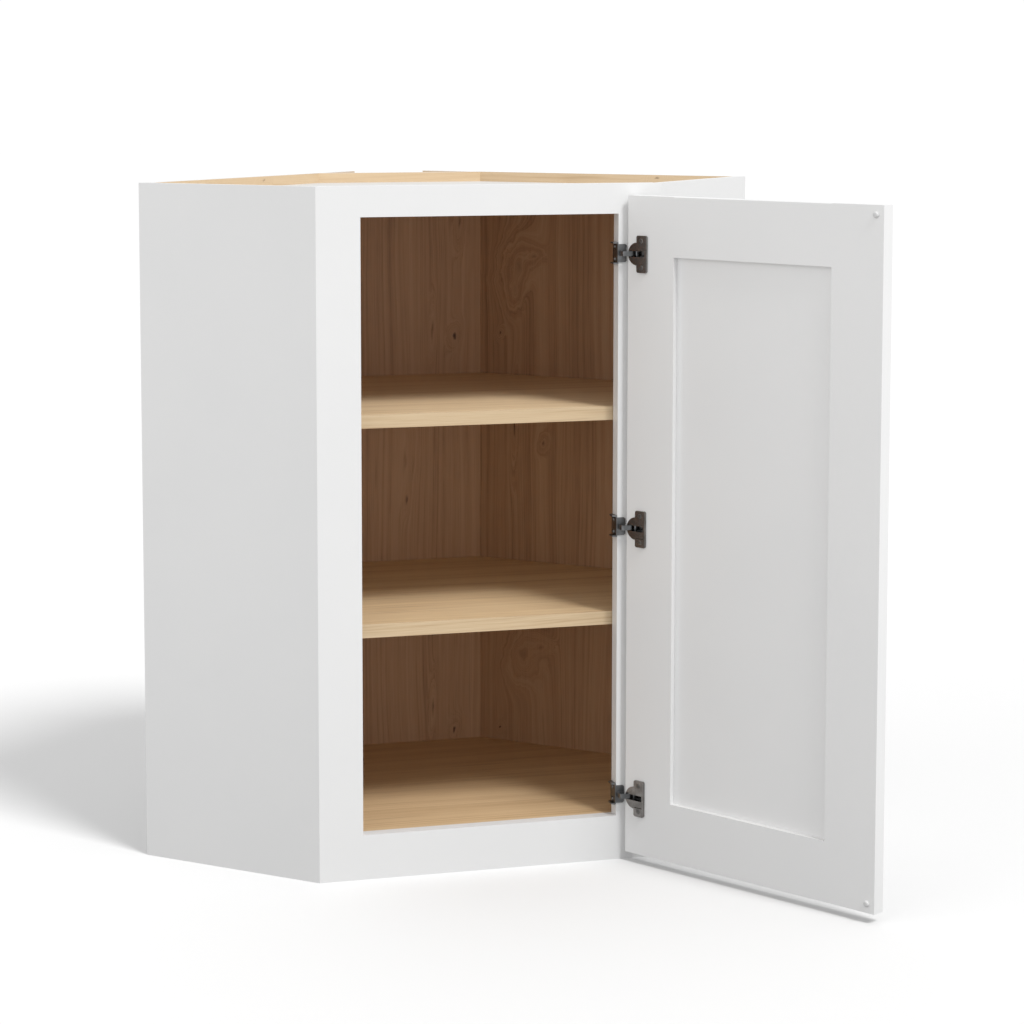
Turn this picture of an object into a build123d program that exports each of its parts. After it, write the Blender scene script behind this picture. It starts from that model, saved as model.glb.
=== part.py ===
from build123d import *
import os
from math import cos, radians, sin, sqrt

# Diagonal corner wall cabinet, door open by 120 degrees. Millimetres, +Z up.
# The diagonal front looks along -Y and the room's corner lies on +Y. Plan points
# are written from the front of the face frame; the origin is the middle of the
# bottom rail's underside, half the frame's thickness behind that front.
os.makedirs("parts", exist_ok=True)

inch = 25.4

# Carcass
height = 36 * inch
wall_length = 24 * inch
side_depth = 278.0
panel_thickness = 12.7
back_thickness = 16.0
back_end_to_corner = 90.0
corner_panel_y = 482.6
top_panel_setback = 14.0

# Face frame
frame_thickness = 19.0
stile_width = 59.0
top_rail_height = 40.0
bottom_rail_height = 60.0
tenon_length = 25.0
tenon_thickness = 7.0
tenon_shoulder = 8.0
housing_depth = 5.0

# Shelves
shelf_thickness = 18.0
shelf_heights = {"lower": 319.0, "upper": 597.0}
shelf_front_y = 21.6
shelf_play = 1.0
edge_band_thickness = 1.0
pin_radius = 2.5
pin_depth = 8.0

# Door
door_width = 413.0
door_bottom = 13.0
door_height = 886.0
door_thickness = 18.0
door_member = 79.0
inner_recess = 7.0
door_panel_thickness = 6.0
groove_depth = 10.0
groove_play = 0.1
opening_angle = 120.0
closed_corner = (205.0, -3.5)
bumper_radius = 4.0
bumper_thickness = 3.1
bumper_inset = 12.0

# Hinges, measured on the door's inner face from its hinge edge
hinge_heights = {"lower": 90.0, "middle": 456.0, "upper": 822.0}
pivot_from_edge = 8.0
pivot_depth = 9.0
pivot_radius = 1.25
pivot_length = 17.0
running_clearance = 0.05
cup_from_edge = 16.9
cup_radius = 13.9
cup_depth = 13.2
cup_wall = 0.7
cup_floor = 0.6
rim_radius = 15.0
rim_flat_from_edge = 1.6
rim_thickness = 1.7
wing_near = 17.5
wing_far = 34.3
wing_height = 49.0
wing_thickness = 3.2
wing_step = 13.0
lip_width = 2.4
wing_screw_from_edge = 25.5
wing_screw_spacing = 35.4
mouth_near = 3.5
mouth_far = 30.0
mouth_height = 7.6
arm_height = 6.4
arm_thickness = 1.5
knuckle_radius = 2.6
spring_low = 4.1
spring_width = 2.2
spring_thickness = 0.5
spring_foot_from_edge = 22.0
screw_radius = 1.7
screw_length = 11.0
screw_head_radius = 3.3
edge_plate_height = 29.0
edge_plate_thickness = 1.8
edge_plate_flange = 4.2
edge_plate_depth = 18.0
face_tab_height = 24.0
face_tab_thickness = 1.5
face_tab_far_x = 186.5
edge_screw_spacing = 17.0

# Screws, shelf pins and their holes are drawn with few sides
fastener_sides = 16

# Worked out from the sizes above
diagonal = sqrt(0.5)
half_face = (wall_length - side_depth) * sqrt(2) / 2
half_opening = half_face - stile_width
wall_sum = half_face + 2 * side_depth * diagonal
face_y = -frame_thickness / 2
mitre = frame_thickness * (sqrt(2) - 1)
panel_mitre = panel_thickness * (sqrt(2) - 1)
side_inner_x = half_face - panel_thickness * sqrt(2)
back_inner_sum = wall_sum - back_thickness * sqrt(2)
side_back_corner = ((side_inner_x + back_inner_sum) / 2, (back_inner_sum - side_inner_x) / 2)
rail_levels = {"top": (height - top_rail_height, height), "bottom": (0, bottom_rail_height)}
level_tops = {"top": height - top_panel_setback, "bottom": bottom_rail_height}


def plan(*points, side=1):
    """Plan points, from the front of the face frame, on the right or left side."""
    return [(side * x, y + face_y) for x, y in points]


def small_round(radius, mode=Mode.ADD):
    """The section of a screw, a pin or its hole."""
    return RegularPolygon(radius, side_count=fastener_sides, mode=mode)


def inside_outline(front_y, play=0.0):
    """The five-sided plan between frame, sides and backs, from the right front corner."""
    slack = play * sqrt(2)
    front_x = side_inner_x + front_y - slack
    deep_y = corner_panel_y - play
    deep_x = back_inner_sum - slack - deep_y
    right = [(front_x, front_y), (side_back_corner[0] - slack, side_back_corner[1]), (deep_x, deep_y)]
    left = [(-x, y) for x, y in reversed(right)]
    return plan(*right, *left)


def level_board(top, mode=Mode.ADD):
    """The top or bottom panel, let into the walls round it, or the grooves that hold it."""
    with BuildSketch(Plane.XY.offset(top - panel_thickness)) as board:
        with BuildLine():
            Polyline(*inside_outline(frame_thickness, -housing_depth), close=True)
        make_face()
    extrude(board.sketch, amount=panel_thickness, mode=mode)


def cut_housings():
    for top in level_tops.values():
        level_board(top, Mode.SUBTRACT)


def keep(piece, label):
    piece.label = label
    export_step(piece, f"parts/{label}.step")


def upright(point, inward, z):
    """A plane standing on a vertical face: local x level, local y up, z inward."""
    origin = (point[0], point[1], z)
    return Plane(origin=origin, x_dir=(-inward[1], inward[0], 0), z_dir=(*inward, 0))


# Pins carry each shelf: one in each side panel, two in each back panel
side_pin_run = 40.0
back_pin_runs = (45.0, 350.0)


def side_pin_plane(side, z):
    x = side_inner_x + side_pin_run
    (point,) = plan((x, x - side_inner_x), side=side)
    return upright(point, (-side * diagonal, diagonal), z)


def back_pin_plane(side, run, z):
    step = run * diagonal
    (point,) = plan((side_back_corner[0] - step, side_back_corner[1] + step), side=side)
    return upright(point, (-side * diagonal, -diagonal), z)


pin_drop = 4.0
pin_levels = [z - pin_drop for z in shelf_heights.values()]

for side, word in ((-1, "left"), (1, "right")):
    with BuildPart() as side_panel:
        with BuildSketch():
            with BuildLine():
                reach = side_depth * diagonal
                inset = panel_thickness * diagonal
                Polyline(
                    *plan(
                        (half_face, 0),
                        (half_face + reach, reach),
                        (half_face + reach - inset, reach + inset),
                        (half_face - panel_mitre, panel_thickness),
                        side=side,
                    ),
                    close=True,
                )
            make_face()
        extrude(amount=height)
        for z in pin_levels:
            with BuildSketch(side_pin_plane(side, z)):
                small_round(pin_radius)
            extrude(amount=-pin_depth, mode=Mode.SUBTRACT)
        cut_housings()
    keep(side_panel.part, f"{word}_side_panel")

    with BuildPart() as back_panel:
        with BuildSketch():
            with BuildLine():
                start_x = half_face + (side_depth - panel_thickness) * diagonal
                end_x = back_end_to_corner * diagonal
                step = back_thickness * diagonal
                Polyline(
                    *plan(
                        (start_x, wall_sum - start_x),
                        (end_x, wall_sum - end_x),
                        (end_x - step, wall_sum - end_x - step),
                        (start_x - step, wall_sum - start_x - step),
                        side=side,
                    ),
                    close=True,
                )
            make_face()
        extrude(amount=height)
        for z in pin_levels:
            for run in back_pin_runs:
                with BuildSketch(back_pin_plane(side, run, z)):
                    small_round(pin_radius)
                extrude(amount=-pin_depth, mode=Mode.SUBTRACT)
        cut_housings()
    keep(back_panel.part, f"{word}_back_panel")

    with BuildPart() as frame_stile:
        with BuildSketch():
            with BuildLine():
                Polyline(
                    *plan(
                        (half_opening, 0),
                        (half_face, 0),
                        (half_face - mitre, frame_thickness),
                        (half_opening, frame_thickness),
                        side=side,
                    ),
                    close=True,
                )
            make_face()
        extrude(amount=height)
        for low, high in rail_levels.values():
            with BuildSketch(Plane.XY.offset(low + tenon_shoulder)):
                with Locations((side * (half_opening + tenon_length / 2), 0)):
                    Rectangle(tenon_length, tenon_thickness)
            extrude(amount=high - low - 2 * tenon_shoulder, mode=Mode.SUBTRACT)
        if word == "right":
            for z in hinge_heights.values():
                for lift in (-edge_screw_spacing / 2, edge_screw_spacing / 2):
                    with BuildSketch(upright((half_opening, 0), (-1, 0), z + lift)):
                        small_round(screw_radius)
                    extrude(amount=-screw_length, mode=Mode.SUBTRACT)
    keep(frame_stile.part, f"frame_{word}_stile")

for word, (low, high) in rail_levels.items():
    with BuildPart() as frame_rail:
        with BuildSketch(Plane.XY.offset(low)):
            Rectangle(2 * half_opening, frame_thickness)
        extrude(amount=high - low)
        with BuildSketch(Plane.XY.offset(low + tenon_shoulder)):
            Rectangle(2 * (half_opening + tenon_length), tenon_thickness)
        extrude(amount=high - low - 2 * tenon_shoulder)
    keep(frame_rail.part, f"frame_{word}_rail")

with BuildPart() as corner_panel:
    with BuildSketch():
        with BuildLine():
            near_x = back_inner_sum - corner_panel_y
            far_x = near_x - panel_thickness
            far_y = corner_panel_y + panel_thickness
            Polyline(
                *plan((-near_x, corner_panel_y), (near_x, corner_panel_y)),
                *plan((far_x, far_y), (-far_x, far_y)),
                close=True,
            )
        make_face()
    extrude(amount=height)
    cut_housings()
keep(corner_panel.part, "corner_back_panel")

for word, top in level_tops.items():
    with BuildPart() as level_panel:
        level_board(top)
    keep(level_panel.part, f"{word}_panel")

for word, low in shelf_heights.items():
    band_back_y = shelf_front_y + edge_band_thickness
    with BuildPart() as shelf:
        with BuildSketch(Plane.XY.offset(low)):
            with BuildLine():
                Polyline(*inside_outline(band_back_y, shelf_play), close=True)
            make_face()
        extrude(amount=shelf_thickness)
    keep(shelf.part, f"{word}_shelf")

    with BuildPart() as edge_band:
        with BuildSketch(Plane.XY.offset(low)):
            with BuildLine():
                front = inside_outline(shelf_front_y, shelf_play)
                rear = inside_outline(band_back_y, shelf_play)
                Polyline(front[0], rear[0], rear[-1], front[-1], close=True)
            make_face()
        extrude(amount=shelf_thickness)
    keep(edge_band.part, f"{word}_shelf_edge_band")

    with BuildPart() as shelf_pins:
        planes = [side_pin_plane(side, low - pin_drop) for side in (-1, 1)]
        planes += [
            back_pin_plane(side, run, low - pin_drop) for side in (-1, 1) for run in back_pin_runs
        ]
        for plane in planes:
            with BuildSketch(plane):
                small_round(pin_radius)
            extrude(amount=-pin_depth)
            with BuildSketch(plane):
                with Locations((0, -2)):
                    Rectangle(9, 12)
            extrude(amount=1.2)
            with BuildSketch(plane):
                with Locations((0, pin_drop - 1.25)):
                    Rectangle(9, 2.5)
            extrude(amount=9)
    keep(shelf_pins.part, f"{word}_shelf_pins")

# The door, in its own place: u runs from the hinge edge, y into its thickness
pivot = (closed_corner[0] - pivot_from_edge, closed_corner[1] - pivot_depth)
swing = radians(opening_angle)
open_corner = (
    pivot[0] + pivot_from_edge * cos(swing) - pivot_depth * sin(swing),
    pivot[1] + pivot_from_edge * sin(swing) + pivot_depth * cos(swing) + face_y,
    0,
)
along = (-cos(swing), -sin(swing), 0)
inner_normal = (-sin(swing), cos(swing), 0)
door_plan = Plane(origin=open_corner, x_dir=along, z_dir=(0, 0, 1))
door_face = Plane(origin=open_corner, x_dir=along, z_dir=inner_normal)
door_top = door_bottom + door_height


def door_spot(u, z, lift):
    """A plane level with the door's inner face, u from the hinge edge and z up."""
    return Plane(door_face.from_local_coords((u, z, lift)), x_dir=along, z_dir=inner_normal)


door_middle = (door_bottom + door_top) / 2
panel_depth = inner_recess + door_panel_thickness / 2
easing = 0.8

for word, near in (("hinge", 0.0), ("latch", door_width - door_member)):
    with BuildPart() as door_stile:
        with BuildSketch(door_plan.offset(door_bottom)):
            with Locations((near + door_member / 2, door_thickness / 2)):
                Rectangle(door_member, door_thickness)
        extrude(amount=door_height)
        outer_edge = 0 if word == "hinge" else -1
        fillet(
            door_stile.edges().filter_by(Axis.Z).group_by(Axis(open_corner, along))[outer_edge],
            radius=easing,
        )
        groove_middle = door_member - groove_depth / 2 if word == "hinge" else groove_depth / 2
        with BuildSketch(door_plan.offset(door_bottom)):
            with Locations((near + groove_middle, panel_depth)):
                Rectangle(groove_depth, door_panel_thickness)
        extrude(amount=door_height, mode=Mode.SUBTRACT)
        if word == "hinge":
            for z in hinge_heights.values():
                with BuildSketch(door_face):
                    with Locations((cup_from_edge, z)):
                        Circle(cup_radius + 0.1)
                extrude(amount=-cup_depth - 0.1, mode=Mode.SUBTRACT)
                with BuildSketch(door_face):
                    with Locations((wing_screw_from_edge, z)):
                        with GridLocations(0, wing_screw_spacing, 1, 2):
                            small_round(screw_radius)
                extrude(amount=-screw_length, mode=Mode.SUBTRACT)
    keep(door_stile.part, f"door_{word}_stile")

rail_length = door_width - 2 * door_member
tongue = groove_depth - 0.5
for word, low in (("top", door_top - door_member), ("bottom", door_bottom)):
    upper = word == "top"
    groove_low = low if upper else low + door_member - groove_depth
    tongue_low = low + groove_depth if upper else low
    with BuildPart() as door_rail:
        with BuildSketch(door_plan.offset(low)):
            with Locations((door_width / 2, door_thickness / 2)):
                Rectangle(rail_length, door_thickness)
        extrude(amount=door_member)
        outer_faces = door_rail.edges().filter_by(Axis(open_corner, along)).group_by(Axis.Z)
        fillet(outer_faces[-1 if upper else 0], radius=easing)
        with BuildSketch(door_plan.offset(tongue_low)):
            with Locations((door_width / 2, panel_depth)):
                Rectangle(rail_length + 2 * tongue, door_panel_thickness - 2 * groove_play)
        extrude(amount=door_member - groove_depth)
        with BuildSketch(door_plan.offset(groove_low)):
            with Locations((door_width / 2, panel_depth)):
                Rectangle(rail_length, door_panel_thickness)
        extrude(amount=groove_depth, mode=Mode.SUBTRACT)
    keep(door_rail.part, f"door_{word}_rail")

with BuildPart() as door_panel:
    with BuildSketch(door_face.offset(-panel_depth)):
        with Locations((door_width / 2, door_middle)):
            Rectangle(rail_length + 2 * tongue, door_height - 2 * door_member + 2 * tongue)
    extrude(amount=door_panel_thickness / 2 - groove_play, both=True)
keep(door_panel.part, "door_centre_panel")

with BuildPart() as door_bumpers:
    with BuildSketch(door_face):
        with Locations((door_width - bumper_inset, door_middle)):
            with GridLocations(0, door_height - 2 * bumper_inset, 1, 2):
                Circle(bumper_radius)
    extrude(amount=bumper_thickness)
keep(door_bumpers.part, "door_bumpers")

# Hinges: a plate wraps the frame's edge, an arm reaches from it into the cup
arm_foot = (face_tab_far_x - 0.5, -face_tab_thickness - arm_thickness / 2)
arm_heel = (177.0, arm_foot[1])
arm_floor_y = -15.0
arm_line = plan(
    arm_foot,
    arm_heel,
    (arm_heel[0], arm_floor_y),
    (190.5, arm_floor_y),
    pivot,
)
arm_bends = [2.0, 2.5, 4.0]
pivot_point = (pivot[0], pivot[1] + face_y)

plate_x = half_opening - edge_plate_thickness
tab_middle = (plate_x + face_tab_far_x) / 2
cavity_depth = cup_depth - cup_floor
cheek_low, cheek_top = 6.5, 5.5
cheek_thickness = pivot_length / 2 - cheek_low
pin_place = Plane.XY.offset(-pivot_length / 2)
head_depth = screw_head_radius - screw_radius

# A flat closing spring hooks round the pin on each side of the arm
coil_inner = pivot_radius + 0.2
coil_outer = coil_inner + spring_thickness
spring_leg = [
    (pivot_from_edge, pivot_depth + coil_outer),
    (spring_foot_from_edge, cavity_depth),
    (spring_foot_from_edge, cavity_depth - spring_thickness),
    (pivot_from_edge, pivot_depth + coil_inner),
]


def pan_screw(seat):
    """A screw whose head stands on the seat plane and whose shank goes behind it."""
    with BuildPart() as made:
        with BuildSketch(seat):
            small_round(screw_head_radius)
        extrude(amount=1.6)
        with BuildSketch(seat):
            small_round(screw_radius)
        extrude(amount=0.2 - screw_length)
    return made.part


def flush_head(top, play=0.0):
    """A countersunk head under the top plane, or the sink cut for it."""
    with BuildPart() as made:
        with BuildSketch(top):
            small_round(screw_head_radius + play)
        extrude(amount=-head_depth)
        small_end = made.faces().sort_by(Axis(top.origin, top.z_dir))[0]
        chamfer(small_end.edges(), length=head_depth - 0.05)
    return made.part


def flush_screw(top):
    """A screw whose head lies flush with the top plane."""
    with BuildPart() as made:
        add(flush_head(top))
        with BuildSketch(top):
            small_round(screw_radius)
        extrude(amount=0.2 - screw_length - wing_thickness)
    return made.part


for word, z in hinge_heights.items():
    with BuildPart() as edge_plate:
        low = z - edge_plate_height / 2
        with BuildSketch(Plane.XY.offset(low)):
            with BuildLine():
                back_edge = [(half_opening, edge_plate_depth), (plate_x, edge_plate_depth)]
                Polyline(*plan((half_opening, 0), *back_edge, (plate_x, 0)), close=True)
            make_face()
        extrude(amount=edge_plate_height)
        for flange_low in (low, low + edge_plate_height - edge_plate_thickness):
            with BuildSketch(Plane.XY.offset(flange_low)):
                with BuildLine():
                    flange_x = plate_x - edge_plate_flange
                    flange_edge = [(flange_x, edge_plate_depth - 3), (flange_x, 3)]
                    Polyline(*plan((plate_x, 0), (plate_x, edge_plate_depth), *flange_edge), close=True)
                make_face()
            extrude(amount=edge_plate_thickness)
        with BuildSketch(Plane(origin=(tab_middle, face_y, z), x_dir=(1, 0, 0), z_dir=(0, -1, 0))):
            Rectangle(face_tab_far_x - plate_x, face_tab_height)
        extrude(amount=face_tab_thickness)
        tab_corners = edge_plate.edges().filter_by(Axis.Y).group_by(Axis.X)[-1]
        chamfer(tab_corners, length=2)
        for lift in (-edge_screw_spacing / 2, edge_screw_spacing / 2):
            with BuildSketch(upright((plate_x, 0), (-1, 0), z + lift)):
                small_round(screw_radius + 0.2)
            extrude(amount=-edge_plate_thickness, mode=Mode.SUBTRACT)
    keep(edge_plate.part, f"{word}_hinge_edge_plate")

    with BuildPart() as arm:
        with BuildSketch(Plane.XY.offset(z - arm_height / 2)):
            with BuildLine():
                FilletPolyline(*arm_line, radius=arm_bends)
            trace(line_width=arm_thickness)
            with Locations(pivot_point):
                Circle(knuckle_radius)
                Circle(pivot_radius + running_clearance, mode=Mode.SUBTRACT)
        extrude(amount=arm_height)
    keep(arm.part, f"{word}_hinge_arm")

    with BuildPart() as cup:
        with BuildSketch(door_face):
            with Locations((cup_from_edge, z)):
                Circle(cup_radius)
        extrude(amount=-cup_depth)
        with BuildSketch(door_face):
            with Locations((cup_from_edge, z)):
                Circle(rim_radius)
            with Locations((rim_flat_from_edge - rim_radius, z)):
                Rectangle(2 * rim_radius, 2 * rim_radius, mode=Mode.SUBTRACT)
            with Locations(((wing_near + wing_far) / 2, z)):
                Rectangle(wing_far - wing_near, wing_height)
        extrude(amount=rim_thickness)
        with BuildSketch(door_face):
            with Locations(((wing_near + wing_far) / 2, z)):
                Rectangle(wing_far - wing_near, wing_height)
                Rectangle(wing_far - wing_near, 2 * wing_step, mode=Mode.SUBTRACT)
            with Locations((wing_far - lip_width / 2, z)):
                Rectangle(lip_width, wing_height)
        extrude(amount=wing_thickness)
        wing_corners = cup.edges().filter_by(Axis(open_corner, inner_normal))
        corner_order = wing_corners.sort_by(Axis.Z)
        chamfer(corner_order[:2] + corner_order[-2:], length=1.6)
        with BuildSketch(door_face):
            with Locations((cup_from_edge, z)):
                Circle(cup_radius - cup_wall)
        extrude(amount=-cavity_depth, mode=Mode.SUBTRACT)
        with BuildSketch(door_face):
            with Locations(((mouth_near + mouth_far) / 2, z)):
                Rectangle(mouth_far - mouth_near, mouth_height)
        extrude(amount=rim_thickness, mode=Mode.SUBTRACT)
        with BuildSketch(door_face.offset(-cavity_depth)):
            with Locations((pivot_from_edge, z)):
                with GridLocations(0, 2 * cheek_low + cheek_thickness, 1, 2):
                    Rectangle(4.4, cheek_thickness)
        extrude(amount=cavity_depth - cheek_top)
        with BuildSketch(pin_place.offset(z)):
            with Locations(pivot_point):
                small_round(pivot_radius)
        extrude(amount=pivot_length, mode=Mode.SUBTRACT)
        for lift in (-wing_screw_spacing / 2, wing_screw_spacing / 2):
            seat = door_spot(wing_screw_from_edge, z + lift, wing_thickness)
            add(flush_head(seat, play=0.1), mode=Mode.SUBTRACT)
            with BuildSketch(seat):
                small_round(screw_radius + 0.2)
            extrude(amount=-wing_thickness, mode=Mode.SUBTRACT)
    keep(cup.part, f"{word}_hinge_cup")

    with BuildPart() as pin:
        with BuildSketch(pin_place.offset(z)):
            with Locations(pivot_point):
                small_round(pivot_radius)
        extrude(amount=pivot_length)
    keep(pin.part, f"{word}_hinge_pin")

    with BuildPart() as springs:
        for low in (spring_low, -spring_low - spring_width):
            with BuildSketch(door_plan.offset(z + low)):
                with Locations((pivot_from_edge, pivot_depth)):
                    small_round(coil_outer)
                    small_round(coil_inner, mode=Mode.SUBTRACT)
                    with Locations((coil_outer / 2, coil_outer / 2)):
                        Rectangle(coil_outer, coil_outer, mode=Mode.SUBTRACT)
                with BuildLine():
                    Polyline(*spring_leg, close=True)
                make_face()
            extrude(amount=spring_width)
    keep(springs.part, f"{word}_hinge_springs")

    edge_screws = [
        pan_screw(upright((plate_x, 0), (-1, 0), z + lift))
        for lift in (-edge_screw_spacing / 2, edge_screw_spacing / 2)
    ]
    keep(Compound(children=edge_screws), f"{word}_hinge_edge_screws")

    cup_screws = [
        flush_screw(door_spot(wing_screw_from_edge, z + lift, wing_thickness))
        for lift in (-wing_screw_spacing / 2, wing_screw_spacing / 2)
    ]
    keep(Compound(children=cup_screws), f"{word}_hinge_cup_screws")
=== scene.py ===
import math

import bpy
from mathutils import Matrix, Vector


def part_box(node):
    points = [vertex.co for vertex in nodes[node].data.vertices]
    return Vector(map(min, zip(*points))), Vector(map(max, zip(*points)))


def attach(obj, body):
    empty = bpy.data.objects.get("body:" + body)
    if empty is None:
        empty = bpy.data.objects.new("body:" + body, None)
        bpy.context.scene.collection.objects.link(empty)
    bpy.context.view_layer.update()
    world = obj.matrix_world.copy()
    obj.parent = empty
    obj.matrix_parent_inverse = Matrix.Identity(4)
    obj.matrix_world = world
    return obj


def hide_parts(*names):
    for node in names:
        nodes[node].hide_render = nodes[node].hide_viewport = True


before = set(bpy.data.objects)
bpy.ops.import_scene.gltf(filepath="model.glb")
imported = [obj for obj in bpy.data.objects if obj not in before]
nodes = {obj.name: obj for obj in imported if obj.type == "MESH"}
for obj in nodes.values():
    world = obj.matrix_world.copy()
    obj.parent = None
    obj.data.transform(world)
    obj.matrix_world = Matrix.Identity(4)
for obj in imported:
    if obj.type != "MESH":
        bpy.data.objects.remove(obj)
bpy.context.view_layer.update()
print("frame loaded:", len(nodes), "pieces")

slant = math.sqrt(0.5)  # the side and back walls stand at 45 degrees to the front
up, down = (0.0, 0.0, 1.0), (0.0, 0.0, -1.0)
wide, deep, leftward = (1.0, 0.0, 0.0), (0.0, 1.0, 0.0), (-1.0, 0.0, 0.0)
hingeWords = ("lower", "middle", "upper")


# Shader maths: a wire is one socket, and sums of wires add Math nodes
class Wire:
    def __init__(self, paint, socket):
        self.paint = paint
        self.socket = socket

    def sum(self, operation, *values):
        return self.paint.add("Math", {"operation": operation}, dict(enumerate(values)))

    def __add__(self, other):
        return self.sum("ADD", self, other)

    def __sub__(self, other):
        return self.sum("SUBTRACT", self, other)

    def __mul__(self, other):
        return self.sum("MULTIPLY", self, other)

    def __truediv__(self, other):
        return self.sum("DIVIDE", self, other)

    def __pow__(self, other):
        return self.sum("POWER", self, other)

    def __radd__(self, other):
        return self.sum("ADD", other, self)

    def __rsub__(self, other):
        return self.sum("SUBTRACT", other, self)

    def __rmul__(self, other):
        return self.sum("MULTIPLY", other, self)

    def fade(self):
        return self.sum("EXPONENT", self * -1.0)


class Paint:
    def __init__(self, name):
        self.material = bpy.data.materials.new(name)
        self.material.use_nodes = True
        self.tree = self.material.node_tree
        self.tree.nodes.clear()

    def find(self, sockets, key):
        if isinstance(key, int):
            return sockets[key]
        return next(s for s in sockets if s.name == key and s.enabled)

    def add(self, kind, settings, sockets, out=0):
        made = self.tree.nodes.new("ShaderNode" + kind)
        for key, value in settings.items():
            if key == "stops":
                self.setStops(made.color_ramp, value)
            else:
                setattr(made, key, value)
        for key, value in sockets.items():
            socket = self.find(made.inputs, key)
            if isinstance(value, Wire):
                self.tree.links.new(value.socket, socket)
            else:
                socket.default_value = value
        return Wire(self, self.find(made.outputs, out))

    def setStops(self, ramp, stops):
        while len(ramp.elements) < len(stops):
            ramp.elements.new(0.5)
        for element, (position, colour) in zip(ramp.elements, stops):
            element.position = position
            element.color = colour

    def place(self):
        return self.add("TexCoord", {}, {}, "Object")

    def scaled(self, vector, size):
        steps = size if isinstance(size, tuple) else (size, size, size)
        return self.add("VectorMath", {"operation": "MULTIPLY"}, {0: vector, 1: steps}, "Vector")

    def dot(self, vector, direction):
        return self.add("VectorMath", {"operation": "DOT_PRODUCT"}, {0: vector, 1: direction}, "Value")

    def vector(self, x, y, z):
        return self.add("CombineXYZ", {}, {0: x, 1: y, 2: z})

    def noise(self, vector, detail=2.0, roughness=0.5):
        values = {"Vector": vector, "Scale": 1.0, "Detail": detail, "Roughness": roughness}
        return self.add("TexNoise", {}, values)

    def spread(self, value, low, high):
        values = {"Value": value, "From Min": low, "From Max": high}
        return self.add("MapRange", {"clamp": True, "interpolation_type": "SMOOTHSTEP"}, values)

    def ramp(self, value, stops):
        return self.add("ValToRGB", {"stops": stops}, {0: value})

    def blend(self, share, first, second):
        return self.add("Mix", {"data_type": "RGBA"}, {"Factor": share, "A": first, "B": second}, "Result")

    def bump(self, height, distance):
        return self.add("Bump", {}, {"Height": height, "Distance": distance, "Strength": 1.0})

    def close(self, sockets):
        shader = self.add("BsdfPrincipled", {}, sockets)
        output = self.tree.nodes.new("ShaderNodeOutputMaterial")
        self.tree.links.new(shader.socket, output.inputs["Surface"])
        return self.material


# White satin lacquer on the frame, the door and the outside of the box, each in its own pair of whites. The
# door's pair is lighter and the left side's and the top's duller than the frame's: painted light and painted
# shade
lacquer = {
    "colour": (0.808, 0.808, 0.806, 1),
    "shade": (0.797, 0.798, 0.797, 1),
    # the door's pair is lighter than the frame's: painted light on the door
    "doorPaintedLight": (0.834, 0.834, 0.832, 1),
    "doorPaintedLightTwin": (0.823, 0.824, 0.823, 1),
    # the left side's pair is duller than the frame's: painted shade on that side
    "sidePaintedShade": (0.752, 0.752, 0.750, 1),
    "sidePaintedShadeTwin": (0.742, 0.743, 0.742, 1),
    "topPaintedShade": (0.672, 0.672, 0.668, 1),  # painted shade: a duller white on the top, which takes the most light
    "topPaintedShadeTwin": (0.650, 0.650, 0.646, 1),
    "roughness": 0.40,
    "peelSize": 0.0022,
    "peelDepth": 0.00004,
    "cloudSize": 0.14,
}


def lacquerParts(paint, place, tints):
    cloud = paint.noise(paint.scaled(place, 1 / lacquer["cloudSize"]), detail=3)
    peel = paint.noise(paint.scaled(place, 1 / lacquer["peelSize"]), detail=2)
    first, second = (lacquer[tint] for tint in tints)
    colour = paint.blend(paint.spread(cloud, 0.35, 0.7), first, second)
    roughness = lacquer["roughness"] + (cloud - 0.5) * 0.10 + (peel - 0.5) * 0.05
    return colour, roughness, peel


def makeLacquer(name, *tints):
    paint = Paint(name)
    colour, roughness, peel = lacquerParts(paint, paint.place(), tints)
    normal = paint.bump(peel, lacquer["peelDepth"])
    return paint.close({"Base Color": colour, "Roughness": roughness, "Normal": normal})


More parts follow.
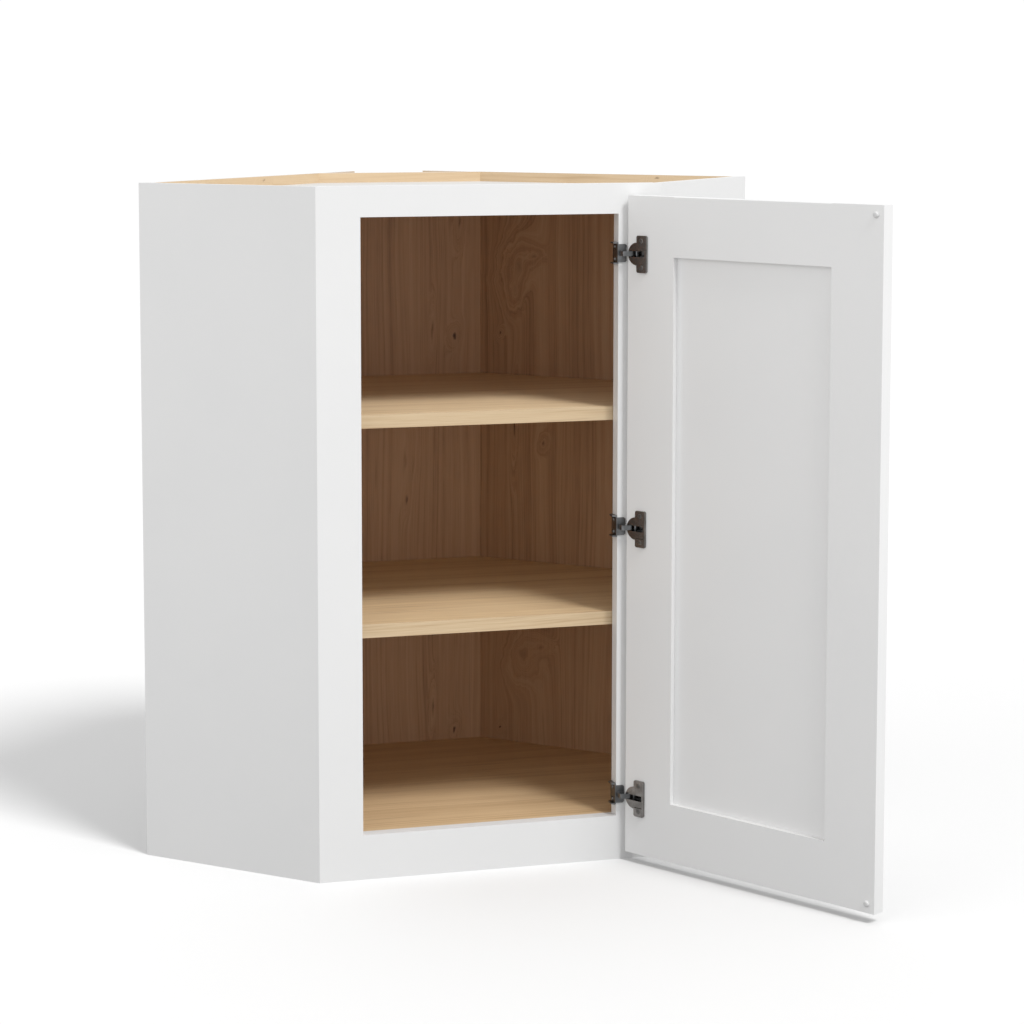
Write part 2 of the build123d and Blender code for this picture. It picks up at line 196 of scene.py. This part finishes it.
# Natural wood veneer. Spacings are in metres across the grain, and steps are per metre along it
veneer = {
    "sway": 0.045,
    "swaySteps": (6, 1.4),
    "lineSpacing": 0.0042,
    "lineSteps": 0.8,
    "bandSpacing": 0.034,
    "bandSteps": 0.7,
    "fibreSpacing": 0.0009,
    "fibreSteps": 16,
    "fibreDepth": 0.00006,
    "streakSpacing": 0.0055,
    "streakSteps": 5.5,
    "streakRange": (0.58, 0.76),
    "streakStrength": 0.55,
    "patchSteps": (11, 4),
    "patchRange": (0.42, 0.66),
    "shares": (0.42, 0.22, 0.36),
    "stops": (0.30, 0.47, 0.64),
    "roughness": 0.52,
    "knotRange": (0.05, 0.9),
    "knotColour": (0.115, 0.052, 0.026, 1),
    # the walls' inner veneer, darker and redder than the rim's: partly the wood's own tone, partly painted
    # shade inside the box
    "wall": ((0.330, 0.180, 0.096, 1), (0.600, 0.372, 0.216, 1), (0.715, 0.478, 0.294, 1)),
    # the right walls' veneer, darker than the other walls': painted shade
    "rightWallPaintedShade": ((0.280, 0.150, 0.078, 1), (0.525, 0.320, 0.182, 1), (0.630, 0.415, 0.250, 1)),
    "shelf": ((0.430, 0.262, 0.128, 1), (0.765, 0.570, 0.348, 1), (0.915, 0.735, 0.490, 1)),
    # the lower shelf's veneer, darker than the upper shelf's: painted shade for the dimmer lower compartment
    "lowerShelfPaintedShade": ((0.385, 0.230, 0.110, 1), (0.715, 0.520, 0.305, 1), (0.865, 0.675, 0.435, 1)),
    # the bottom board's veneer, darker than the shelves': painted shade for the dimmer bottom compartment
    "floor": ((0.335, 0.190, 0.090, 1), (0.640, 0.445, 0.250, 1), (0.795, 0.595, 0.365, 1)),
    "band": ((0.400, 0.250, 0.125, 1), (0.620, 0.462, 0.284, 1), (0.735, 0.580, 0.385, 1)),
    "rim": ((0.466, 0.307, 0.159, 1), (0.668, 0.496, 0.310, 1), (0.742, 0.578, 0.382, 1)),
}

# A knot is (across, along, width, height, darkness) on its board, in metres. These are parts of its size
knotShape = {
    "grit": 0.8,
    "sway": 1.5,
    "raggedAcross": 1.6,
    "raggedAlong": 0.8,
    "lean": 0.35,
    "reach": 0.35,
    "pull": 0.9,
    "ring": 0.9,
    "heart": 3.0,
}


def knotPull(paint, u, v, sway, lines, knot):
    knotU, knotV, width, height, darkness = knot
    grit = paint.vector(u / width * knotShape["grit"], v / height * knotShape["grit"], knotV * 50)
    ragged = paint.noise(grit, detail=3) - 0.5
    du = (u - knotU + (sway - 0.5) * width * knotShape["sway"]) / width + ragged * knotShape["raggedAcross"]
    dv = (v - knotV) / height + du * knotShape["lean"] + ragged * knotShape["raggedAlong"]
    away = du * du + dv * dv
    pull = (away * knotShape["reach"]).fade()
    ring = (away ** 0.5) * width * knotShape["ring"]  # closed near the heart, straight lines further out
    heart = (away * knotShape["heart"]).fade() * darkness
    return lines * (1 - pull * knotShape["pull"]) + ring * pull, heart


def woodParts(paint, place, across, along, kind, seed, knots=()):
    # every noise stands at its own distance from the board's seed
    u = paint.dot(place, across)
    v = paint.dot(place, along)
    swayU, swayV = veneer["swaySteps"]
    sway = paint.noise(paint.vector(u * swayU, v * swayV, seed), detail=2)
    lines = u + (sway - 0.5) * veneer["sway"]
    hearts = None
    for knot in knots:
        lines, heart = knotPull(paint, u, v, sway, lines, knot)
        hearts = heart if hearts is None else hearts + heart
    fine = paint.vector(lines / veneer["lineSpacing"], v * veneer["lineSteps"], seed + 3)
    rings = paint.noise(fine, detail=3, roughness=0.62)
    broad = paint.vector(lines / veneer["bandSpacing"], v * veneer["bandSteps"], seed + 11)
    bands = paint.noise(broad, detail=2)
    thread = paint.vector(u / veneer["fibreSpacing"], v * veneer["fibreSteps"], seed + 7)
    fibre = paint.noise(thread, detail=2)
    dash = paint.vector(lines / veneer["streakSpacing"], v * veneer["streakSteps"], seed + 19)
    patchU, patchV = veneer["patchSteps"]
    patch = paint.vector(u * patchU, v * patchV, seed + 23)
    ringShare, fibreShare, bandShare = veneer["shares"]
    tone = rings * ringShare + fibre * fibreShare + bands * bandShare
    colour = paint.ramp(tone, list(zip(veneer["stops"], veneer[kind])))
    streaks = paint.spread(paint.noise(dash, detail=2), *veneer["streakRange"])
    patches = paint.spread(paint.noise(patch, detail=1), *veneer["patchRange"])
    colour = paint.blend(streaks * patches * veneer["streakStrength"], colour, veneer[kind][0])
    if hearts is not None:
        colour = paint.blend(paint.spread(hearts, *veneer["knotRange"]), colour, veneer["knotColour"])
    roughness = veneer["roughness"] + (fibre - 0.5) * 0.16 + (rings - 0.5) * 0.08
    return colour, roughness, fibre


def makeVeneer(name, across, along, kind, seed, knots=()):
    paint = Paint(name)
    colour, roughness, fibre = woodParts(paint, paint.place(), across, along, kind, seed, knots)
    normal = paint.bump(fibre, veneer["fibreDepth"])
    return paint.close({"Base Color": colour, "Roughness": roughness, "Normal": normal})


# Boards of the box: lacquered outside and on their edges, veneer on their inner face
walls = {
    "left_side_panel": {
        "inward": (slant, slant, 0),
        "kind": "wall",
        "seed": 1.0,
        # a duller white on this side: painted shade
        "whites": ("sidePaintedShade", "sidePaintedShadeTwin"),
    },
    # darker veneer: painted shade on the right walls
    "right_side_panel": {"inward": (-slant, slant, 0), "kind": "rightWallPaintedShade", "seed": 2.0},
    "left_back_panel": {
        "inward": (slant, -slant, 0),
        "kind": "wall",
        "seed": 5.0,
        "rimKnots": [(0.9085, -0.104, 0.0040, 0.0060, 0.5), (0.9100, 0.060, 0.0030, 0.0050, 0.3)],
    },
    "right_back_panel": {
        "inward": (-slant, -slant, 0),
        # darker veneer: painted shade on the right walls
        "kind": "rightWallPaintedShade",
        "seed": 8.0,
        "knots": [
            (0.186, 0.778, 0.015, 0.021, 0.34),
            (0.160, 0.792, 0.010, 0.006, 0.40),
            (0.190, 0.742, 0.007, 0.016, 0.22),
            (0.214, 0.676, 0.003, 0.004, 0.90),
            (0.190, 0.540, 0.003, 0.030, 0.75),
            (0.141, 0.515, 0.005, 0.007, 0.55),
            (0.172, 0.194, 0.015, 0.021, 0.34),
            (0.147, 0.208, 0.010, 0.006, 0.40),
            (0.214, 0.079, 0.003, 0.004, 0.90),
        ],
        "rimKnots": [(0.9095, -0.042, 0.0040, 0.0060, 0.6)],
    },
    "corner_back_panel": {
        "inward": (0, -1, 0),
        "kind": "wall",
        "seed": 12.0,
        "knots": [
            (-0.083, 0.671, 0.005, 0.009, 0.85),
            (-0.091, 0.840, 0.004, 0.018, 0.55),
            (-0.049, 0.680, 0.003, 0.024, 0.50),
            (-0.006, 0.486, 0.009, 0.030, 0.30),
            (-0.009, 0.427, 0.003, 0.014, 0.60),
            (-0.083, 0.073, 0.005, 0.009, 0.85),
            (-0.049, 0.110, 0.003, 0.022, 0.50),
        ],
    },
}
flatBoards = {
    # the top's duller white is painted shade
    "top_panel": {"inward": down, "kind": "wall", "seed": 61.0, "whites": ("topPaintedShade", "topPaintedShadeTwin")},
    # the bottom board's darker veneer is painted shade
    "bottom_panel": {"inward": up, "kind": "floor", "seed": 66.0},
}
shelves = {
    # the lower shelf's darker veneer is painted shade
    "lower": {"kind": "lowerShelfPaintedShade", "seed": 31.0, "bandSeed": 51.0},
    "upper": {"kind": "shelf", "seed": 35.0, "bandSeed": 55.0},
}
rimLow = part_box("top_panel")[1][2]  # above the top panel the boards show a plain rim
rimBlur = 0.0003
faceDepth = 0.0006  # how deep the inner face's veneer shows on a board's edges


def innerFace(name, inward):
    # how far along its inward direction a board's inner face lies
    return max(Vector(inward).dot(v.co) for v in nodes[name].data.vertices)


def makeWallBoard(name, inward, along, kind, seed, knots=(), rimKnots=(), whites=("colour", "shade")):
    across = tuple(Vector(inward).cross(Vector(along)).normalized())
    face = innerFace(name, inward)
    paint = Paint(name + "_finish")
    place = paint.place()
    wood, woodRoughness, fibre = woodParts(paint, place, across, along, kind, seed, knots)
    if name in walls:
        rim = paint.spread(paint.dot(place, up), rimLow - rimBlur, rimLow + rimBlur)
        rimWood, _, _ = woodParts(paint, place, up, across, "rim", seed + 40, rimKnots)
        wood = paint.blend(rim, wood, rimWood)
    white, whiteRoughness, peel = lacquerParts(paint, place, whites)
    inside = paint.spread(paint.dot(place, inward), face - faceDepth, face - faceDepth / 3)
    colour = paint.blend(inside, white, wood)
    roughness = whiteRoughness * (1 - inside) + woodRoughness * inside
    height = peel * 0.4 * (1 - inside) + fibre * inside
    normal = paint.bump(height, veneer["fibreDepth"])
    return paint.close({"Base Color": colour, "Roughness": roughness, "Normal": normal})


# Hinge metal: dark nickel plate on the cups, black nickel on the arms, brighter screws and pins
metals = {
    "cup_nickel": {"colour": (0.29, 0.275, 0.265, 1), "shade": (0.20, 0.19, 0.18, 1), "roughness": 0.21},
    "arm_nickel": {"colour": (0.24, 0.246, 0.252, 1), "shade": (0.17, 0.174, 0.178, 1), "roughness": 0.36},
    "screw_nickel": {"colour": (0.24, 0.23, 0.22, 1), "shade": (0.15, 0.145, 0.14, 1), "roughness": 0.30},
    "pin_nickel": {"colour": (0.66, 0.65, 0.62, 1), "shade": (0.52, 0.51, 0.49, 1), "roughness": 0.24},
}
plating = {"cloudScale": 90.0, "scratchScale": (1100.0, 1100.0, 120.0), "scratchDepth": 0.00001}


def makeMetal(name):
    metal = metals[name]
    paint = Paint(name)
    place = paint.place()
    cloud = paint.noise(paint.scaled(place, plating["cloudScale"]), detail=3)
    scratch = paint.noise(paint.scaled(place, plating["scratchScale"]), detail=2)
    tint = paint.blend(paint.spread(cloud, 0.3, 0.7), metal["colour"], metal["shade"])
    rough = metal["roughness"] + (cloud - 0.5) * 0.14 + (scratch - 0.5) * 0.08
    normal = paint.bump(scratch, plating["scratchDepth"])
    return paint.close({"Base Color": tint, "Metallic": 1.0, "Roughness": rough, "Normal": normal})


softRubber = {"colour": (0.640, 0.642, 0.640, 1), "shade": (0.680, 0.682, 0.680, 1), "roughness": 0.42}


def makeRubber():
    paint = Paint("clear_rubber")
    cloud = paint.noise(paint.scaled(paint.place(), 600.0), detail=2)
    tint = paint.blend(cloud, softRubber["colour"], softRubber["shade"])
    return paint.close({"Base Color": tint, "Roughness": softRubber["roughness"] + cloud * 0.1})


def dress(material, piece):
    piece.data.materials.clear()
    piece.data.materials.append(material)


frameWhite = makeLacquer("frame_lacquer", "colour", "shade")
# the door's lighter whites are painted light
doorWhitePaintedLight = makeLacquer("door_lacquer_painted_light", "doorPaintedLight", "doorPaintedLightTwin")
cupNickel = makeMetal("cup_nickel")
armNickel = makeMetal("arm_nickel")
screwNickel = makeMetal("screw_nickel")
pinNickel = makeMetal("pin_nickel")
rubber = makeRubber()
for name, node in nodes.items():
    if name.startswith("frame_"):
        dress(frameWhite, node)
    elif name.startswith("door_"):
        dress(doorWhitePaintedLight, node)
    elif name.endswith(("_hinge_arm", "_hinge_edge_plate", "_hinge_springs", "_hinge_pin")):
        dress(armNickel, node)
    elif name.endswith("_hinge_cup"):
        dress(cupNickel, node)
for name, board in walls.items():
    dress(makeWallBoard(name, along=up, **board), nodes[name])
for name, board in flatBoards.items():
    dress(makeWallBoard(name, along=wide, **board), nodes[name])
for word, shelf in shelves.items():
    board = makeVeneer(word + "_shelf_finish", deep, wide, shelf["kind"], shelf["seed"])
    dress(board, nodes[word + "_shelf"])
    strip = makeVeneer(word + "_band_finish", up, wide, "band", shelf["bandSeed"])
    dress(strip, nodes[word + "_shelf_edge_band"])
print("finishes done:", len(bpy.data.materials), "materials")


# Modelling helpers
def only(*pieces):
    bpy.ops.object.select_all(action="DESELECT")
    for piece in pieces:
        piece.select_set(True)
    bpy.context.view_layer.objects.active = pieces[0]


def pick(piece, kind, test):
    # leaves edit mode on the given kind of element, with only those that pass the test selected
    bpy.ops.object.mode_set(mode="EDIT")
    bpy.ops.mesh.select_mode(type=kind)
    bpy.ops.mesh.select_all(action="DESELECT")
    bpy.ops.object.mode_set(mode="OBJECT")
    mesh = piece.data
    for element in {"FACE": mesh.polygons, "EDGE": mesh.edges}[kind]:
        if kind == "FACE":
            element.select = test(element.center, element.normal)
        else:
            ends = [mesh.vertices[i].co for i in element.vertices]
            element.select = test((ends[0] + ends[1]) / 2, ends[1] - ends[0])
    bpy.ops.object.mode_set(mode="EDIT")


def done():
    bpy.ops.object.mode_set(mode="OBJECT")


def addModifier(piece, kind, **settings):
    modifier = piece.modifiers.new(kind.lower(), kind)
    for key, value in settings.items():
        setattr(modifier, key, value)
    only(piece)
    bpy.ops.object.modifier_apply(modifier=modifier.name)


def copyTo(master, spot, outward):
    only(master)
    bpy.ops.object.duplicate(linked=False)
    piece = bpy.context.object
    out = Vector(outward).normalized()
    side = Vector(up).cross(out).normalized()
    turn = Matrix((side, out.cross(side), out)).transposed().to_4x4()
    piece.matrix_world = Matrix.Translation(spot) @ turn
    bpy.ops.object.transform_apply(location=True, rotation=True, scale=True)
    return piece


def clearAway(*masters):
    only(*masters)
    bpy.ops.object.delete()


def standIn(name, pieces, node, body, material):
    only(*pieces)
    bpy.ops.object.join()
    piece = bpy.context.object
    piece.name = name
    bpy.ops.object.shade_smooth_by_angle(angle=math.radians(35))
    dress(material, piece)
    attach(piece, body)
    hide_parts(node)


def middle(spots):
    low = Vector([min(spot[i] for spot in spots) for i in range(3)])
    high = Vector([max(spot[i] for spot in spots) for i in range(3)])
    return (low + high) / 2


def capCentres(name, outward):
    # the middles of a node's end caps that reach furthest out, the lower one first
    out = Vector(outward)
    spots = [v.co for v in nodes[name].data.vertices]
    reach = max(out.dot(spot) for spot in spots)
    caps = [spot for spot in spots if out.dot(spot) > reach - 0.0001]
    height = middle(caps).z
    return [middle([c for c in caps if c.z < height]), middle([c for c in caps if c.z >= height])]


# Cross-recess screws: flush heads in the cup's wings, domed heads on the edge plates
screw = {
    "sides": 32,
    "headRadius": 0.0033,
    "shankRadius": 0.0016,
    "shankLength": 0.0105,
    "flushRim": 0.0004,
    "flushDepth": 0.0016,
    "flushSoftness": 0.0002,
    "domeHeight": 0.0016,
    "domeSoftness": 0.0011,
    "recessWidth": 0.0008,
    "recessReach": 0.0038,
    "recessDepth": 0.0011,
    "recessShrink": 0.45,
    "tipShrink": 0.55,
}


def makeScrew(domed):
    head = screw["domeHeight"] if domed else screw["flushRim"]
    bpy.ops.object.select_all(action="DESELECT")
    bpy.ops.mesh.primitive_cylinder_add(
        vertices=screw["sides"], radius=screw["headRadius"], depth=head, location=(0, 0, -head / 2)
    )
    piece = bpy.context.object
    bpy.ops.object.transform_apply(location=True)
    pick(piece, "FACE", lambda centre, normal: normal.z < -0.9)
    if not domed:
        bpy.ops.mesh.extrude_region_move(TRANSFORM_OT_translate={"value": (0, 0, -screw["flushDepth"])})
        shrink = screw["shankRadius"] / screw["headRadius"]
    else:
        bpy.ops.mesh.inset(thickness=screw["headRadius"] - screw["shankRadius"])
        shrink = 1.0
    bpy.ops.transform.resize(value=(shrink, shrink, 1))
    bpy.ops.mesh.extrude_region_move(TRANSFORM_OT_translate={"value": (0, 0, -screw["shankLength"])})
    bpy.ops.transform.resize(value=(screw["tipShrink"], screw["tipShrink"], 1))
    pick(piece, "EDGE", lambda centre, run: centre.z > -0.00001)
    softness = screw["domeSoftness"] if domed else screw["flushSoftness"]
    bpy.ops.mesh.bevel(offset=softness, segments=5, profile=0.5, affect="EDGES")
    done()
    cutters = []
    long, thin = screw["recessReach"], screw["recessWidth"]
    for x, y in ((long, thin), (thin, long)):
        bpy.ops.object.select_all(action="DESELECT")
        bpy.ops.mesh.primitive_cube_add(size=1, location=(0, 0, 0))
        cutter = bpy.context.object
        cutter.scale = (x, y, 2 * screw["recessDepth"])
        bpy.ops.object.transform_apply(location=True, scale=True)
        pick(cutter, "FACE", lambda centre, normal: normal.z < -0.9)
        bpy.ops.transform.resize(value=(screw["recessShrink"], screw["recessShrink"], 1))
        done()
        cutters.append(cutter)
    for cutter in cutters:
        addModifier(piece, "BOOLEAN", operation="DIFFERENCE", object=cutter, solver="EXACT")
    clearAway(*cutters)
    return piece


flushScrew = makeScrew(domed=False)
domedScrew = makeScrew(domed=True)
openBy = math.radians(120)
doorInward = Vector((-math.sin(openBy), math.cos(openBy), 0))  # the door is open at rest
for word in hingeWords:
    node = word + "_hinge_cup_screws"
    copies = [copyTo(flushScrew, spot, doorInward) for spot in capCentres(node, doorInward)]
    standIn(word + "_wing_screws", copies, node, "door", screwNickel)
    node = word + "_hinge_edge_screws"
    copies = [copyTo(domedScrew, spot, leftward) for spot in capCentres(node, leftward)]
    standIn(word + "_plate_screws", copies, node, "cabinet", screwNickel)
clearAway(flushScrew, domedScrew)
print("screws done")


# Clear rubber dots that the door closes on
dot = {"sides": 40, "radius": 0.0040, "height": 0.0031, "dome": 0.0022, "dimple": 0.00006}


def makeDot():
    bpy.ops.object.select_all(action="DESELECT")
    bpy.ops.mesh.primitive_cylinder_add(
        vertices=dot["sides"], radius=dot["radius"], depth=dot["height"], location=(0, 0, -dot["height"] / 2)
    )
    piece = bpy.context.object
    bpy.ops.object.transform_apply(location=True)
    pick(piece, "EDGE", lambda centre, run: centre.z > -0.00001)
    bpy.ops.mesh.bevel(offset=dot["dome"], segments=7, profile=0.5, affect="EDGES")
    pick(piece, "FACE", lambda centre, normal: normal.z > 0.99)
    bpy.ops.mesh.inset(thickness=dot["radius"] * 0.2)
    bpy.ops.transform.translate(value=(0, 0, -dot["dimple"]))
    done()
    return piece


softDot = makeDot()
dots = [copyTo(softDot, spot, doorInward) for spot in capCentres("door_bumpers", doorInward)]
standIn("door_soft_dots", dots, "door_bumpers", "door", rubber)
clearAway(softDot)
print("door dots done")


# Spoon pins: a round shank in the wall, a small plate against it and a tongue under the shelf
spoon = {
    "shelfDrop": 0.0040,
    "apart": 0.05,
    "shankSides": 24,
    "shankRadius": 0.0025,
    "shankDepth": 0.0078,
    "shankOverlap": 0.0002,
    "plateSize": (0.0090, 0.0120, 0.0012),
    "plateDrop": 0.0020,
    "tongueLow": 0.0015,
    "tongueReach": 0.0078,
    "softness": 0.0005,
}


def makeSpoon():
    plateWidth, plateHeight, plateThickness = spoon["plateSize"]
    bpy.ops.object.select_all(action="DESELECT")
    bpy.ops.mesh.primitive_cube_add(size=1, location=(0, -spoon["plateDrop"], plateThickness / 2))
    plate = bpy.context.object
    plate.scale = (plateWidth, plateHeight, plateThickness)
    bpy.ops.object.transform_apply(location=True, scale=True)
    pick(plate, "FACE", lambda centre, normal: True)
    bpy.ops.mesh.bisect(plane_co=(0, spoon["tongueLow"], 0), plane_no=(0, 1, 0))
    pick(plate, "FACE", lambda centre, normal: normal.z > 0.9 and centre.y > spoon["tongueLow"])
    bpy.ops.mesh.extrude_region_move(TRANSFORM_OT_translate={"value": (0, 0, spoon["tongueReach"])})
    done()
    corners = {"limit_method": "ANGLE", "angle_limit": math.radians(40)}
    addModifier(plate, "BEVEL", width=spoon["softness"], segments=3, **corners)
    bpy.ops.object.select_all(action="DESELECT")
    sides, radius, depth = spoon["shankSides"], spoon["shankRadius"], spoon["shankDepth"]
    bpy.ops.mesh.primitive_cylinder_add(vertices=sides, radius=radius, depth=depth, location=(0, 0, 0))
    shank = bpy.context.object
    shank.location.z = -depth / 2 + spoon["shankOverlap"]
    bpy.ops.object.transform_apply(location=True)
    pick(shank, "EDGE", lambda centre, run: centre.z < 0 and abs(run.z) < 0.00001)
    bpy.ops.mesh.bevel(offset=spoon["softness"], segments=3, profile=0.5, affect="EDGES")
    done()
    only(plate, shank)
    bpy.ops.object.join()
    return bpy.context.object


def pinMiddles(node):
    # a node's points are sorted into its separate pins, which stand far apart
    pins = []
    for vertex in nodes[node].data.vertices:
        near = [pin for pin in pins if (pin[0] - vertex.co).length < spoon["apart"]]
        if near:
            near[0].append(vertex.co)
        else:
            pins.append([vertex.co])
    return [middle(pin) for pin in pins]


def ontoWall(place):
    # the nearest place on a wall's inner face, and that wall's inward direction
    choices = []
    for name, board in walls.items():
        inward = Vector(board["inward"])
        beyond = inward.dot(place) - innerFace(name, inward)
        choices.append((abs(beyond), place - inward * beyond, inward))
    return min(choices, key=lambda choice: choice[0])[1:]


spoonPin = makeSpoon()
for word in shelves:
    node = word + "_shelf_pins"
    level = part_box(node)[1][2] - spoon["shelfDrop"]  # the node's top is the shelf's underside
    pins = []
    for place in pinMiddles(node):
        spot, inward = ontoWall(place)
        pins.append(copyTo(spoonPin, (spot.x, spot.y, level), inward))
    standIn(word + "_spoon_pins", pins, node, "cabinet", pinNickel)
clearAway(spoonPin)
print("shelf pins done")


# Floor, light and camera
studio = {
    "floorSize": 80.0,
    "floorColour": (0.800, 0.800, 0.800, 1),
    "floorShade": (0.785, 0.785, 0.785, 1),
    "nearBounce": (0.340, 0.340, 0.340, 1),
    "farBounce": (0.560, 0.560, 0.560, 1),
    "bounceReach": (0.4, 2.4),
    "skySeen": 1.02,
    "skyLight": 0.745,
    "lampSpot": (0.6, -1.8, 3.2),
    "keyLight": {"height": 52.0, "turn": 26.0, "strength": 2.00, "spread": 16.5},
    "sideLight": {"height": 15.0, "turn": -72.0, "strength": 0.49, "spread": 60.0},
}


def makeFloor():
    bpy.ops.object.select_all(action="DESELECT")
    bpy.ops.mesh.primitive_plane_add(size=studio["floorSize"], location=(0, 0, 0))
    floor = bpy.context.object
    floor.name = "studio_floor"
    paint = Paint("pale_floor")
    cloud = paint.noise(paint.scaled(paint.place(), 1.5), detail=2)
    tint = paint.blend(cloud * 0.1, studio["floorColour"], studio["floorShade"])
    seen = paint.add("LightPath", {}, {}, "Is Camera Ray")
    reach = paint.add("VectorMath", {"operation": "LENGTH"}, {0: paint.place()}, "Value")
    far = paint.spread(reach, *studio["bounceReach"])
    bounce = paint.blend(far, studio["nearBounce"], studio["farBounce"])
    tint = paint.blend(seen, bounce, tint)  # a pale floor that throws little light back up near the cabinet
    dress(paint.close({"Base Color": tint, "Roughness": 0.9}), floor)


def makeSky():
    world = bpy.data.worlds.new("studio_sky")
    bpy.context.scene.world = world
    world.use_nodes = True
    links = world.node_tree.links
    sky = world.node_tree.nodes
    sky.clear()
    seen = sky.new("ShaderNodeBackground")
    seen.inputs["Strength"].default_value = studio["skySeen"]
    light = sky.new("ShaderNodeBackground")
    light.inputs["Strength"].default_value = studio["skyLight"]
    for layer in (seen, light):
        layer.inputs["Color"].default_value = (1, 1, 1, 1)
    path = sky.new("ShaderNodeLightPath")
    either = sky.new("ShaderNodeMixShader")
    output = sky.new("ShaderNodeOutputWorld")
    links.new(path.outputs["Is Camera Ray"], either.inputs[0])
    links.new(light.outputs[0], either.inputs[1])
    links.new(seen.outputs[0], either.inputs[2])
    links.new(either.outputs[0], output.inputs["Surface"])


def makeLight(name):
    lamp = studio[name]
    bpy.ops.object.select_all(action="DESELECT")
    bpy.ops.object.light_add(type="SUN", location=studio["lampSpot"])
    light = bpy.context.object
    light.name = name
    light.rotation_euler = (math.radians(90 - lamp["height"]), 0, math.radians(lamp["turn"]))
    light.data.energy = lamp["strength"]
    light.data.angle = math.radians(lamp["spread"])


view = {
    "place": (-0.998, -3.4645, 1.054),
    "pitch": 5.83,
    "turn": 16.12,
    "lens": 96.85,
    "shift": (0.0199, -0.15),
}


def makeCamera():
    bpy.ops.object.select_all(action="DESELECT")
    bpy.ops.object.camera_add(location=view["place"])
    camera = bpy.context.object
    camera.rotation_euler = (math.radians(90 - view["pitch"]), 0, -math.radians(view["turn"]))
    camera.data.lens = view["lens"]
    camera.data.sensor_width = 36.0
    camera.data.shift_x, camera.data.shift_y = view["shift"]
    bpy.context.scene.camera = camera


makeFloor()
makeSky()
makeLight("keyLight")
makeLight("sideLight")
makeCamera()
bpy.context.scene.view_settings.view_transform = "Standard"
print("studio done")
